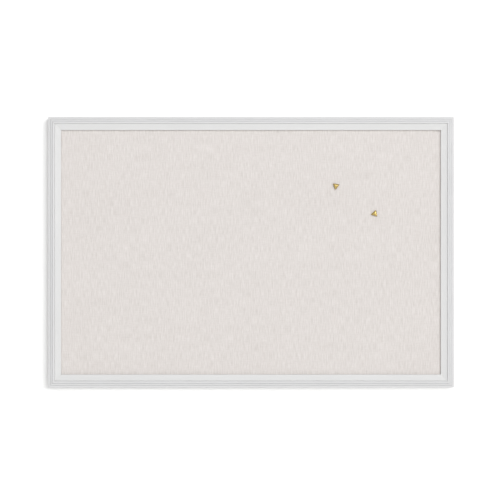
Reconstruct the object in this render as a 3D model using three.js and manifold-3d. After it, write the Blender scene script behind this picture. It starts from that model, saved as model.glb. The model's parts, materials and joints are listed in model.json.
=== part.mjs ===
// Framed linen pin board that hangs on a wall by two D-ring hangers.
// Millimetres, +Z up. The front faces -Y, the wall is the plane Y = 0, and the origin lies on the
// wall behind the middle of the board. Inside one side of the frame, x runs along the rail,
// z runs inward from its outer edge and -y runs forward from its back.
import * as THREE from 'three';
import { mergeVertices } from 'three/addons/utils/BufferGeometryUtils.js';
import Module from 'manifold-3d';

const wasm = await Module();
wasm.setup();

// Frame
const frameWidth = 762;
const frameHeight = 508;

// Clearances and cuts
const seatGap = 0.3; // between a piece and its seat
const clothGap = 0.2; // between the linen and what it wraps
const cutOverrun = 2; // how far a cutter runs past the face it opens

// Moulding section, from the outer edge inward
const outerBandWidth = 4.7;
const middleBandWidth = 3.7;
const crestWidth = 3.8;
const coveWidth = 11.4;
const lipRound = 1;
const outerWallHeight = 19.2; // from the back up to the front's outer edge
const outerEdgeRound = 0.8;
const bandSlope = 0.2; // each flat band rises this much inward
const bandStep = 1.2; // height of each of the two steps up to the crest
const crestRise = 0.9; // the crest's curve is pulled this far above its two feet
const crestFoot = 0.2; // the inner foot is this much lower than the outer one
const coveDrop = 1.4; // the step down behind the crest
const coveFall = 1.8; // from the top of the cove to the lip
const coveHollow = 1; // how far the cove's curve is pulled below its top
const coveHollowShare = 0.45; // how far across the cove it is pulled lowest
const lipThickness = 3.9; // at the sight edge, below the round
const rabbetWidth = 6.6; // how far the lip overhangs the panel
const mitreSetback = 0.21; // each mitred end, measured along the rail

// Panel stack, from the front
const linenThickness = 0.6;
const panelThickness = 8;
const backingThickness = 2;
const rabbetClearance = 1; // around the stack
const linenTurnIn = 25; // linen folded over the panel's back

// V-nails, two driven into each mitre from behind
const nailLeg = 4;
const nailThickness = 0.5;
const nailHeight = 9;
const nailInset = 4.5; // from each outer edge of the corner to the first nail
const nailSpacing = 5.5; // from the first nail to the second, along each edge

// Flexible points that hold the backing in the rabbet
const pointWidth = 8;
const pointThickness = 0.4;
const pointReach = 8; // over the backing
const pointEmbed = 5.5; // into the rail
const pointTip = 3;
const railPointCount = 4;
const stilePointCount = 3;

// Bumpers on the back of the stiles
const bumperRadius = 6;
const bumperThickness = 4.5;
const bumperEdge = 1;
const bumperInset = 32; // from the top or bottom of the frame to the bumper's middle

// D-ring hangers on the back of the stiles
const hangerDrop = 122; // from the top of the frame to the ring's axis
const strapThickness = 0.6; // one layer; the strap is folded double round the ring
const strapWidth = 10;
const strapLength = 24;
const strapScrewDrop = 14; // from the ring's axis to the screw
const wireRadius = 0.9;
const ringClearance = 0.3; // between the wire and the strap's loop
const ringInnerWidth = 13;
const ringLegHeight = 4; // from the axis to where the bow begins
const ringCornerRadius = 2.2;
const ringSplit = 0.5; // the wire's butt joint, inside the loop

// Pan-head screws
const screwHeadRadius = 3.3;
const screwHeadHeight = 1.9;
const screwShankRadius = 1.5;
const screwShankLength = 12;
const screwPointLength = 3;
const screwSlotWidth = 0.8;
const screwSlotDepth = 0.9;
const screwSlotLength = 3.8;

// Push pins
const pinSide = 13; // one side of the triangular head
const pinEdgeThickness = 1.4; // of the head at its rim
const pinBevelHeight = 1.3;
const pinBevelWidth = 1.4; // measured square to a side
const pinStemRadius = 2;
const pinStemLength = 1.4;
const needleRadius = 0.55;
const needleInHead = 2.6;
const needleInBoard = 7;
const needlePoint = 3;
const pinPlaces = [
  { name: 'upper', acrossShare: 0.2095, upShare: 0.2455, turnDegrees: 189 },
  { name: 'lower', acrossShare: 0.305, upShare: 0.143, turnDegrees: 258 },
];

// Roundness
const sectionSegments = 5; // for each curve of the moulding section
const smallRoundSegments = 20;
const wireSegments = 10;
const ringSteps = 44;

// Places worked out from the sizes above
const middleStart = outerBandWidth;
const crestStart = middleStart + middleBandWidth;
const coveStart = crestStart + crestWidth;
const lipStart = coveStart + coveWidth;
const sightEdge = lipStart + lipRound;
const backLand = sightEdge - rabbetWidth; // width of the rail's flat back
const outerBandTop = outerWallHeight + bandSlope;
const middleBandTop = outerBandTop + bandStep + bandSlope;
const crestOuterFoot = middleBandTop + bandStep;
const crestInnerFoot = crestOuterFoot - crestFoot;
const coveTop = crestInnerFoot - coveDrop;
const lipTop = coveTop - coveFall;
const ledgeHeight = lipTop - lipRound - lipThickness; // the rabbet's ledge above the back
const backY = -(bumperThickness + seatGap); // plane of the frame's back
const linenWidth = frameWidth - 2 * (backLand + rabbetClearance);
const linenHeight = frameHeight - 2 * (backLand + rabbetClearance);
const linenWall = linenThickness + clothGap;
const linenDepth = panelThickness + 2 * linenWall;
const linenFrontY = backY - (ledgeHeight - seatGap);
const linenBackY = linenFrontY + linenDepth;
const backingFrontY = linenBackY + clothGap;
const backingBackY = backingFrontY + backingThickness;
const hardwareX = frameWidth / 2 - backLand / 2;
const ringAxisHeight = strapThickness + ringClearance + wireRadius; // above the strap's underside
const strapSeatY = backY + seatGap;
const ringAxisZ = frameHeight / 2 - hangerDrop;
const nailInsets = { outer: nailInset, inner: nailInset + nailSpacing };
const pointBackY = backingBackY + seatGap + pointThickness; // plane of the flexible points' backs

// Materials
function paint() {
  return new THREE.MeshStandardMaterial({ color: 0xe6e6e5, roughness: 0.45, metalness: 0 });
}

function linen() {
  return new THREE.MeshStandardMaterial({ color: 0xe2ddd9, roughness: 0.95, metalness: 0 });
}

function softFibreboard() {
  return new THREE.MeshStandardMaterial({ color: 0xb79a72, roughness: 0.95, metalness: 0 });
}

function hardboard() {
  return new THREE.MeshStandardMaterial({ color: 0x8a6a48, roughness: 0.7, metalness: 0 });
}

function steel() {
  return new THREE.MeshStandardMaterial({ color: 0xb8babb, roughness: 0.35, metalness: 1 });
}

function brass() {
  return new THREE.MeshStandardMaterial({ color: 0xc9ad62, roughness: 0.25, metalness: 1 });
}

function rubber() {
  return new THREE.MeshStandardMaterial({ color: 0xcfcfca, roughness: 0.7, metalness: 0 });
}

// Solids: joining and cutting of closed meshes
function solidOf(geometry) {
  const bare = geometry.clone();
  bare.deleteAttribute('normal');
  bare.deleteAttribute('uv');
  const merged = mergeVertices(bare);
  return new wasm.Manifold(new wasm.Mesh({
    numProp: 3,
    vertProperties: new Float32Array(merged.attributes.position.array),
    triVerts: new Uint32Array(merged.index.array),
  }));
}

function geometryOf(solid) {
  const mesh = solid.getMesh();
  const geometry = new THREE.BufferGeometry();
  geometry.setAttribute('position', new THREE.BufferAttribute(mesh.vertProperties, mesh.numProp));
  geometry.setIndex(new THREE.BufferAttribute(mesh.triVerts, 1));
  const faceted = geometry.toNonIndexed();
  faceted.computeVertexNormals();
  return faceted;
}

function cut(geometry, cutters) {
  let solid = solidOf(geometry);
  for (const cutter of cutters) {
    solid = solid.subtract(solidOf(cutter));
  }
  return geometryOf(solid);
}

function outline(points) {
  return new THREE.Shape(points.map(([x, y]) => new THREE.Vector2(x, y)));
}

// A plate whose outline lies in x and z, from y = 0 forward to y = -depth
function forwardPlate(shape, depth) {
  const geometry = new THREE.ExtrudeGeometry(shape, {
    depth,
    bevelEnabled: false,
    curveSegments: smallRoundSegments,
  });
  return geometry.rotateX(Math.PI / 2);
}

// A rod along y between two values of y
function rod(radius, fromY, toY) {
  const geometry = new THREE.CylinderGeometry(radius, radius, Math.abs(toY - fromY), smallRoundSegments);
  return geometry.translate(0, (fromY + toY) / 2, 0);
}

// A block centred on x = z = 0 between two values of y
function block(width, height, fromY, toY) {
  return new THREE.BoxGeometry(width, Math.abs(toY - fromY), height).translate(0, (fromY + toY) / 2, 0);
}

// A turned shape about the y axis, from [radius, y] pairs with y rising
function turned(profile, segments) {
  return new THREE.LatheGeometry(profile.map(([r, y]) => new THREE.Vector2(r, y)), segments);
}

function named(name, geometry, material) {
  const mesh = new THREE.Mesh(geometry, material);
  mesh.name = name;
  return mesh;
}

// Mitred frame rails
function mouldingSection() {
  const section = new THREE.Shape();
  section.moveTo(0, 0);
  section.lineTo(0, outerWallHeight - outerEdgeRound);
  section.quadraticCurveTo(0, outerWallHeight, outerEdgeRound, outerWallHeight);
  section.lineTo(middleStart, outerBandTop);
  section.lineTo(middleStart, outerBandTop + bandStep);
  section.lineTo(crestStart, middleBandTop);
  section.lineTo(crestStart, crestOuterFoot);
  section.quadraticCurveTo((crestStart + coveStart) / 2, crestOuterFoot + crestRise, coveStart, crestInnerFoot);
  section.lineTo(coveStart, coveTop);
  section.quadraticCurveTo(coveStart + coveHollowShare * coveWidth, coveTop - coveHollow, lipStart, lipTop);
  section.quadraticCurveTo(sightEdge, lipTop, sightEdge, lipTop - lipRound);
  section.lineTo(sightEdge, ledgeHeight);
  section.lineTo(backLand, ledgeHeight);
  section.lineTo(backLand, 0);
  return section;
}

function mitredRail(length) {
  const geometry = new THREE.ExtrudeGeometry(mouldingSection(), {
    depth: length,
    bevelEnabled: false,
    curveSegments: sectionSegments,
  });
  const position = geometry.attributes.position;
  for (let i = 0; i < position.count; i += 1) {
    const inward = position.getX(i);
    const forward = position.getY(i);
    const end = Math.sign(position.getZ(i) - length / 2);
    position.setXYZ(i, end * (length / 2 - inward - mitreSetback), -forward, inward);
  }
  return geometry;
}

// V-nails: two legs, one along each rail that meets at the corner
function nailOutline(grow, mirror) {
  const inner = nailThickness + grow;
  const tip = nailLeg + grow;
  const points = [[-grow, -grow], [tip, -grow], [tip, inner], [inner, inner], [inner, tip], [-grow, tip]];
  return outline(points.map(([x, z]) => [mirror * x, z]));
}

function nailGeometry() {
  return forwardPlate(nailOutline(0, 1), nailHeight).translate(0, -seatGap, 0);
}

function nailSlots(length) {
  const slots = [];
  for (const inset of Object.values(nailInsets)) {
    for (const end of [-1, 1]) {
      const slot = forwardPlate(nailOutline(seatGap, -end), cutOverrun + 2 * seatGap + nailHeight);
      slots.push(slot.translate(end * (length / 2 - inset), cutOverrun, inset));
    }
  }
  return slots;
}

// Flexible points: a blade with an arrow tip in the rail, z = 0 at the rabbet's wall
function pointOutline(grow, reach) {
  const half = pointWidth / 2 + grow;
  const tip = -pointEmbed - grow;
  return outline([[-half, reach], [-half, tip + pointTip], [0, tip], [half, tip + pointTip], [half, reach]]);
}

function pointPlaces(length, count) {
  const run = length - 2 * backLand;
  return Array.from({ length: count }, (_, i) => ((i + 0.5) / count - 0.5) * run);
}

function pointGeometry() {
  return forwardPlate(pointOutline(0, pointReach), pointThickness).translate(0, pointBackY - backY, backLand);
}

function pointSlots(length, count) {
  return pointPlaces(length, count).map((x) => (
    forwardPlate(pointOutline(seatGap, cutOverrun), pointThickness + 2 * seatGap)
      .translate(x, pointBackY + seatGap - backY, backLand)
  ));
}

// Push pins, their heads towards -y and y = 0 at the linen's face
function pinHeadGeometry() {
  const rimRadius = pinSide / Math.sqrt(3);
  const faceRadius = rimRadius - 2 * pinBevelWidth;
  const backOfHead = -(seatGap + pinStemLength);
  const rim = backOfHead - pinEdgeThickness;
  const face = rim - pinBevelHeight;
  const head = turned([[0, face], [faceRadius, face], [rimRadius, rim], [rimRadius, backOfHead], [0, backOfHead]], 3);
  const stem = rod(pinStemRadius, -seatGap, backOfHead - pinEdgeThickness / 2);
  const bore = rod(needleRadius + seatGap, cutOverrun, -needleInHead - 2 * seatGap);
  return geometryOf(solidOf(head).add(solidOf(stem)).subtract(solidOf(bore)));
}

function needleGeometry() {
  return turned([
    [0, -needleInHead - seatGap],
    [needleRadius, -needleInHead - seatGap],
    [needleRadius, needleInBoard - needlePoint],
    [0, needleInBoard],
  ], smallRoundSegments);
}

function pinPosition({ acrossShare, upShare }) {
  return new THREE.Vector3(acrossShare * frameWidth, linenFrontY, upShare * frameHeight);
}

function pinHoles() {
  return pinPlaces.map((place) => {
    const { x, y, z } = pinPosition(place);
    return rod(needleRadius + seatGap, -cutOverrun, needleInBoard + seatGap).translate(x, y, z);
  });
}

// Linen, panel and backing
function linenGeometry() {
  const wrap = block(linenWidth, linenHeight, linenFrontY, linenBackY);
  const hollow = block(
    linenWidth - 2 * linenThickness,
    linenHeight - 2 * linenThickness,
    linenFrontY + linenThickness,
    linenBackY - linenThickness,
  );
  const window = block(
    linenWidth - 2 * linenTurnIn,
    linenHeight - 2 * linenTurnIn,
    linenBackY - linenThickness - clothGap,
    linenBackY + cutOverrun,
  );
  return cut(wrap, [hollow, window, ...pinHoles()]);
}

function panelGeometry() {
  const front = linenFrontY + linenWall;
  const panel = block(linenWidth - 2 * linenWall, linenHeight - 2 * linenWall, front, front + panelThickness);
  return cut(panel, pinHoles());
}

function backingGeometry() {
  return block(linenWidth, linenHeight, backingFrontY, backingBackY);
}

// Bumpers, standing on the frame's back with y = 0 at the wall
function bumperGeometry() {
  return turned([
    [0, -bumperThickness],
    [bumperRadius, -bumperThickness],
    [bumperRadius, -bumperEdge],
    [bumperRadius - bumperEdge, 0],
    [0, 0],
  ], smallRoundSegments);
}

// D-ring hangers, with z = 0 at the ring's axis and y = 0 at the strap's underside
function strapGeometry() {
  const loopRadius = ringClearance + wireRadius + strapThickness;
  const doubled = 2 * strapThickness;
  const meeting = Math.PI + Math.asin((ringAxisHeight - doubled) / loopRadius);
  const side = new THREE.Shape();
  side.moveTo(-strapLength, 0);
  side.lineTo(0, 0);
  side.absarc(0, ringAxisHeight, loopRadius, -Math.PI / 2, meeting, false);
  side.lineTo(-strapLength, doubled);
  const eye = new THREE.Path().absarc(0, ringAxisHeight, ringClearance + wireRadius, 0, 2 * Math.PI, true);
  side.holes.push(eye);
  const strip = new THREE.ExtrudeGeometry(side, {
    depth: strapWidth,
    bevelEnabled: false,
    curveSegments: smallRoundSegments,
  });
  // the side view's x and y become z and y
  strip.rotateY(-Math.PI / 2).translate(strapWidth / 2, 0, 0);
  const half = strapWidth / 2;
  const plan = new THREE.Shape();
  plan.moveTo(half, loopRadius + cutOverrun);
  plan.lineTo(-half, loopRadius + cutOverrun);
  plan.lineTo(-half, half - strapLength);
  plan.absarc(0, half - strapLength, half, Math.PI, 2 * Math.PI, false);
  const blank = forwardPlate(plan, 2 * (cutOverrun + ringAxisHeight + loopRadius))
    .translate(0, cutOverrun + ringAxisHeight + loopRadius, 0);
  const screwHole = rod(screwShankRadius + seatGap, -cutOverrun, doubled + cutOverrun)
    .translate(0, 0, -strapScrewDrop);
  return geometryOf(solidOf(strip).intersect(solidOf(blank)).subtract(solidOf(screwHole)));
}

function ringGeometry() {
  const half = ringInnerWidth / 2 + wireRadius;
  const wire = new THREE.Path();
  wire.moveTo(ringSplit / 2, 0);
  wire.lineTo(half - ringCornerRadius, 0);
  wire.absarc(half - ringCornerRadius, ringCornerRadius, ringCornerRadius, -Math.PI / 2, 0, false);
  wire.lineTo(half, ringLegHeight);
  wire.absarc(0, ringLegHeight, half, 0, Math.PI, false);
  wire.lineTo(-half, ringCornerRadius);
  wire.absarc(ringCornerRadius - half, ringCornerRadius, ringCornerRadius, Math.PI, 1.5 * Math.PI, false);
  wire.lineTo(-ringSplit / 2, 0);
  const centreLine = wire.getSpacedPoints(ringSteps).map((p) => new THREE.Vector3(p.x, 0, p.y));
  const round = new THREE.Shape().absarc(0, 0, wireRadius, 0, 2 * Math.PI, false);
  return new THREE.ExtrudeGeometry(round, {
    extrudePath: new THREE.CatmullRomCurve3(centreLine),
    steps: ringSteps,
    curveSegments: wireSegments,
    bevelEnabled: false,
  });
}

// Screws, with y = 0 under the head and the point towards -y
function screwGeometry() {
  const body = turned([
    [0, -screwShankLength],
    [screwShankRadius, screwPointLength - screwShankLength],
    [screwShankRadius, 0],
    [screwHeadRadius, 0],
    [screwHeadRadius, screwHeadHeight / 2],
    [screwHeadRadius - screwHeadHeight / 2, screwHeadHeight],
    [0, screwHeadHeight],
  ], smallRoundSegments);
  const recess = [[screwSlotLength, screwSlotWidth], [screwSlotWidth, screwSlotLength]].map(([width, height]) => (
    block(width, height, screwHeadHeight - screwSlotDepth, screwHeadHeight + cutOverrun)
  ));
  return cut(body, recess);
}

function screwPilot(x) {
  const depth = screwShankLength + seatGap;
  return rod(screwShankRadius + seatGap, cutOverrun, -depth).translate(x, 0, backLand / 2);
}

// One side of the frame: its rail, its points and the V-nails of its left-hand corner
function frameSide({ name, corner, edge, length, reach, turn, pointCount, pilots }) {
  const side = new THREE.Group();
  side.rotation.y = turn;
  const inner = new THREE.Group();
  inner.position.set(0, backY, -reach);
  side.add(inner);
  const cutters = [...nailSlots(length), ...pointSlots(length, pointCount), ...pilots.map(screwPilot)];
  inner.add(named(name, cut(mitredRail(length), cutters), paint()));
  for (const [which, inset] of Object.entries(nailInsets)) {
    const nail = named(`v_nail_${corner}_${which}`, nailGeometry(), steel());
    nail.position.set(inset - length / 2, 0, inset);
    inner.add(nail);
  }
  pointPlaces(length, pointCount).forEach((x, i) => {
    const point = named(`flexible_point_${edge}_${i + 1}`, pointGeometry(), steel());
    point.position.x = x;
    inner.add(point);
  });
  return side;
}

function buildFrame() {
  const frame = new THREE.Group();
  const rail = { length: frameWidth, reach: frameHeight / 2, pointCount: railPointCount, pilots: [] };
  const stile = { length: frameHeight, reach: frameWidth / 2, pointCount: stilePointCount };
  const screwZ = ringAxisZ - strapScrewDrop;
  frame.add(
    frameSide({ ...rail, name: 'bottom_rail', edge: 'bottom', corner: 'bottom_left', turn: 0 }),
    frameSide({ ...rail, name: 'top_rail', edge: 'top', corner: 'top_right', turn: Math.PI }),
    frameSide({
      ...stile, name: 'left_stile', edge: 'left', corner: 'top_left', turn: Math.PI / 2, pilots: [-screwZ],
    }),
    frameSide({
      ...stile, name: 'right_stile', edge: 'right', corner: 'bottom_right', turn: -Math.PI / 2, pilots: [screwZ],
    }),
  );
  return frame;
}

function buildStack() {
  const stack = new THREE.Group();
  stack.add(
    named('linen_cover', linenGeometry(), linen()),
    named('pin_panel', panelGeometry(), softFibreboard()),
    named('backing_board', backingGeometry(), hardboard()),
  );
  return stack;
}

function buildHanger(side, across) {
  const hanger = new THREE.Group();
  hanger.position.set(across * hardwareX, strapSeatY, ringAxisZ);
  const ring = named(`hanger_ring_${side}`, ringGeometry(), steel());
  ring.position.y = ringAxisHeight;
  const screw = named(`hanger_screw_${side}`, screwGeometry(), steel());
  screw.position.set(0, 2 * strapThickness + seatGap, -strapScrewDrop);
  hanger.add(named(`hanger_strap_${side}`, strapGeometry(), steel()), ring, screw);
  return hanger;
}

function buildBumper(side, across, level, up) {
  const bumper = named(`bumper_${level}_${side}`, bumperGeometry(), rubber());
  bumper.position.set(across * hardwareX, 0, up * (frameHeight / 2 - bumperInset));
  return bumper;
}

function buildPushPin(place) {
  const pin = new THREE.Group();
  pin.position.copy(pinPosition(place));
  pin.rotation.y = THREE.MathUtils.degToRad(place.turnDegrees);
  pin.add(
    named(`pin_head_${place.name}`, pinHeadGeometry(), brass()),
    named(`pin_needle_${place.name}`, needleGeometry(), steel()),
  );
  return pin;
}

function buildBoard() {
  const board = new THREE.Group();
  board.add(buildFrame(), buildStack());
  for (const [side, across] of [['left', -1], ['right', 1]]) {
    board.add(buildHanger(side, across));
    board.add(buildBumper(side, across, 'top', 1), buildBumper(side, across, 'bottom', -1));
  }
  pinPlaces.forEach((place) => board.add(buildPushPin(place)));
  return board;
}

export default buildBoard();
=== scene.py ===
import json
import math
from functools import partial

import bmesh
import bpy
import numpy as np
from mathutils import Matrix, Vector


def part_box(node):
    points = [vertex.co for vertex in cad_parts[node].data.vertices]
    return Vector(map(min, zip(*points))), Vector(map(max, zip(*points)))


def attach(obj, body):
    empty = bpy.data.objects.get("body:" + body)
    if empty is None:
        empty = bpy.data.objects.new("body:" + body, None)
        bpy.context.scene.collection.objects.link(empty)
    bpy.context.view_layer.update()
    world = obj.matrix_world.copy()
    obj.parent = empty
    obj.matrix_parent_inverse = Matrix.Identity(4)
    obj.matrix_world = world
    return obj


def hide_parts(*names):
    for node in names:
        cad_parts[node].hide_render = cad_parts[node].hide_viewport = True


# Framed linen pin board: the looks of every piece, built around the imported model.
# Sizes in the dictionaries are millimetres. The front faces -Y and the wall is the plane Y = 0.

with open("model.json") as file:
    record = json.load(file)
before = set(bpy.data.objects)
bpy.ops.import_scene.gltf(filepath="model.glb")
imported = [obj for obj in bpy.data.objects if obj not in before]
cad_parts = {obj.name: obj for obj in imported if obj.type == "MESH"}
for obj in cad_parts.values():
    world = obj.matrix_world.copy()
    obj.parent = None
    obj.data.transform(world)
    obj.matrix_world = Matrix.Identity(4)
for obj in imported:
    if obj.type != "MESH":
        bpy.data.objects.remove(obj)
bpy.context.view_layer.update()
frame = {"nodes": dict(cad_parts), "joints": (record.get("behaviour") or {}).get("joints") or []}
mm = 0.001
print("frame loaded:", len(frame["nodes"]), "nodes")


# Materials are made of nodes

def linearFromHex(code):
    channels = [int(code[i:i + 2], 16) / 255 for i in (1, 3, 5)]
    linear = [c / 12.92 if c <= 0.04045 else ((c + 0.055) / 1.055) ** 2.4 for c in channels]
    return (*linear, 1.0)


def setInputs(owner, node, inputs):
    # an input takes a number, a hex colour, another node or one of its outputs
    for name, value in inputs.items():
        if isinstance(value, bpy.types.Node):
            value = next(output for output in value.outputs if output.enabled)
        if isinstance(value, bpy.types.NodeSocket):
            owner.node_tree.links.new(value, node.inputs[name])
        else:
            node.inputs[name].default_value = linearFromHex(value) if isinstance(value, str) else value


def addNode(owner, kind, inputs=None, **settings):
    # in a Mix node 0 is the share, 2 and 3 are its numbers and 6 and 7 its colours
    node = owner.node_tree.nodes.new("ShaderNode" + kind)
    for name, value in settings.items():
        setattr(node, name, value)
    setInputs(owner, node, inputs or {})
    return node


def newMaterial(name):
    # returns it with a function that adds its nodes, its shader and the piece's own place in mm
    material = bpy.data.materials.new(name)
    material.use_nodes = True
    shader = material.node_tree.nodes["Principled BSDF"]
    add = partial(addNode, material)
    metres = add("TexCoord").outputs["Object"]
    place = add("VectorMath", {0: metres, "Scale": 1 / mm}, operation="SCALE")
    return material, add, shader, place


def speckledMaterial(name, look, settings):
    # one fine noise shifts the colour and raises the surface
    material, add, shader, place = newMaterial(name)
    speck = add("TexNoise", {"Vector": place, "Scale": 1 / look["speckSize"], **look["noise"]})
    tint = add("Mix", {0: speck, 6: look["shadeColour"], 7: look["colour"]}, data_type="RGBA")
    bump = add("Bump", {"Height": speck, "Distance": look["speckDepth"] * mm})
    setInputs(material, shader, {"Base Color": tint, "Normal": bump, **settings})
    return material, add, shader, speck


# White satin enamel, sprayed over a sealed pine moulding. The eye sees a clean neutral white with a
# soft sheen, a trace of orange peel and, close up, the long pores of the wood under the paint.

enamelLook = {
    "colour": "#dddddd",
    "paintedBandShade": "#dadadb",  # painted shade: the stepped bands outside the cove are painted a shade greyer
    "bandEnd": 12.2,  # where they end, from the outer edge
    "cloudDepth": 0.05,  # how far the paint's tone wanders
    "roughness": (0.48, 0.58),
    "peelSize": 1.5,
    "peelDepth": 0.02,
    "poreWidth": 0.5,
    "poreLength": 28,
    "poreDepth": 0.03,
    "cloudSize": 90,
}


def satinEnamel():
    look = enamelLook
    material, add, shader, place = newMaterial("satinEnamelOnPine")
    cloud = add("TexNoise", {"Vector": place, "Scale": 1 / look["cloudSize"], "Detail": 3})
    inward = add("SeparateXYZ", {0: place}).outputs["Z"]
    # painted shade: outside bandEnd the paint takes the greyer band colour, which stands in for the shade
    # on the stepped bands
    cove = add("Math", {0: inward, 1: look["bandEnd"]}, operation="GREATER_THAN")
    paint = add("Mix", {0: cove, 6: look["paintedBandShade"], 7: look["colour"]}, data_type="RGBA")
    tone = add("MapRange", {"Value": cloud, "To Min": 1, "To Max": 1 - look["cloudDepth"]})
    tint = add("VectorMath", {0: paint, "Scale": tone}, operation="SCALE")
    low, high = look["roughness"]
    gloss = add("MapRange", {"Value": cloud, "To Min": low, "To Max": high})
    peel = add("TexNoise", {"Vector": place, "Scale": 1 / look["peelSize"], "Detail": 2})
    across = 1 / look["poreWidth"]
    along = add("VectorMath", {0: place, 1: (1 / look["poreLength"], across, across)}, operation="MULTIPLY")
    pores = add("TexNoise", {"Vector": along, "Scale": 1, "Detail": 2, "Roughness": 0.6})
    poreBump = add("Bump", {"Height": pores, "Distance": look["poreDepth"] * mm})
    bump = add("Bump", {"Height": peel, "Distance": look["peelDepth"] * mm, "Normal": poreBump})
    setInputs(material, shader, {"Base Color": tint, "Roughness": gloss, "IOR": 1.5, "Normal": bump})
    return material


# Bare planed pine on the back of the moulding, which the paint doesn't reach apart from a little
# overspray at the outer edge. The eye sees pale yellow wood with darker growth lines along the rail.

pineLook = {
    "earlyWood": "#e0cda9",
    "lateWood": "#c6a372",
    "overspray": "#dddcd9",
    "ringWidth": 2.3,
    "ringSway": 3.0,  # how unevenly the rings are spaced, in rings
    "ringStretch": 60,
    "swayPerMillimetre": 0.11,
    "summerShare": (0.3, 0.9),  # where in a ring the wood darkens, and where it pales again
    "lineStrength": (0.3, 0.8),
    "fibreWidth": 0.3,
    "fibreLength": 14,
    "fibreDepth": 0.05,
    "fibreShare": 0.4,
    "oversprayReach": 1.8,
    "oversprayDots": (0.16, 0.5),  # the lower these are, the more paint shows
    "speckSize": 0.35,
    "roughness": (0.62, 0.78),
}


def barePine():
    look = pineLook
    material, add, shader, place = newMaterial("barePlanedPine")
    inward = add("SeparateXYZ", {0: place}).outputs["Z"]
    stretch = add("VectorMath", {0: place, 1: (1 / look["ringStretch"], 1, 1)}, operation="MULTIPLY")
    sway = add("TexNoise", {"Vector": stretch, "Scale": look["swayPerMillimetre"], "Detail": 3,
                            "Roughness": 0.55})
    count = add("Math", {0: inward, 1: 1 / look["ringWidth"]}, operation="MULTIPLY")
    uneven = add("Math", {0: sway, 1: look["ringSway"], 2: count}, operation="MULTIPLY_ADD")
    ring = add("Math", {0: uneven}, operation="FRACT")
    start, end = look["summerShare"]
    summer = add("MapRange", {"Value": ring, "From Min": start, "From Max": end},
                 interpolation_type="SMOOTHSTEP")
    winter = add("MapRange", {"Value": ring, "From Min": end, "From Max": 1, "To Min": 1, "To Max": 0})
    line = add("Math", {0: summer, 1: winter}, operation="MULTIPLY")
    faint, strong = look["lineStrength"]
    strength = add("MapRange", {"Value": sway, "From Min": 0.35, "From Max": 0.65, "To Min": faint,
                                "To Max": strong})
    grain = add("Math", {0: line, 1: strength}, operation="MULTIPLY")
    across = 1 / look["fibreWidth"]
    along = add("VectorMath", {0: place, 1: (1 / look["fibreLength"], across, across)},
                operation="MULTIPLY")
    fibre = add("TexNoise", {"Vector": along, "Scale": 1, "Detail": 3, "Roughness": 0.65})
    dark = add("Math", {0: fibre, 1: look["fibreShare"], 2: grain}, operation="MULTIPLY_ADD",
               use_clamp=True)
    wood = add("Mix", {0: dark, 6: look["earlyWood"], 7: look["lateWood"]}, data_type="RGBA")
    speck = add("TexNoise", {"Vector": place, "Scale": 1 / look["speckSize"], "Detail": 1})
    reach = add("MapRange", {"Value": inward, "From Min": 0, "To Min": 1, "To Max": 0,
                             "From Max": look["oversprayReach"]})
    sprayed = add("Math", {0: reach, 1: speck}, operation="MULTIPLY")
    least, most = look["oversprayDots"]
    paint = add("MapRange", {"Value": sprayed, "From Min": least, "From Max": most, "To Max": 0.9})
    tint = add("Mix", {0: paint, 6: wood, 7: look["overspray"]}, data_type="RGBA")
    low, high = look["roughness"]
    gloss = add("MapRange", {"Value": fibre, "To Min": low, "To Max": high})
    bump = add("Bump", {"Height": fibre, "Distance": look["fibreDepth"] * mm})
    setInputs(material, shader, {"Base Color": tint, "Roughness": gloss, "Normal": bump})
    return material


# Natural white linen, plain woven from uneven yarn. The eye sees a warm off-white cloth with short
# thick-and-thin streaks, mostly upright, from the slubs in the warp.

linenLook = {
    "colour": "#ece7e5",
    "shadeColour": "#d5cfcb",
    "yarnSpacing": 0.75,
    "yarnDepth": 0.12,
    "yarnWander": 1.1,
    "wanderPerMillimetre": 0.16,
    "crossing": 0.25,  # how softly one yarn dips under the next
    # a slub is a yarn or two wide; these are drawn coarser, to show from across a room
    "warpSlub": {"width": 1.7, "length": 17},
    "weftSlub": {"width": 1.6, "length": 16},
    "weftShare": 0.35,
    "slubDepth": 0.12,
    "fuzzSize": 0.3,
    "fuzzDepth": 0.03,
    "cloudSize": 70,
    "cloudShare": 0.2,
    "paleness": (0.3, 1.35),
    "weaveFade": 0.75,  # how little the painted shade darkens the valleys between the yarns
    "roughness": 0.92,
}


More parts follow.
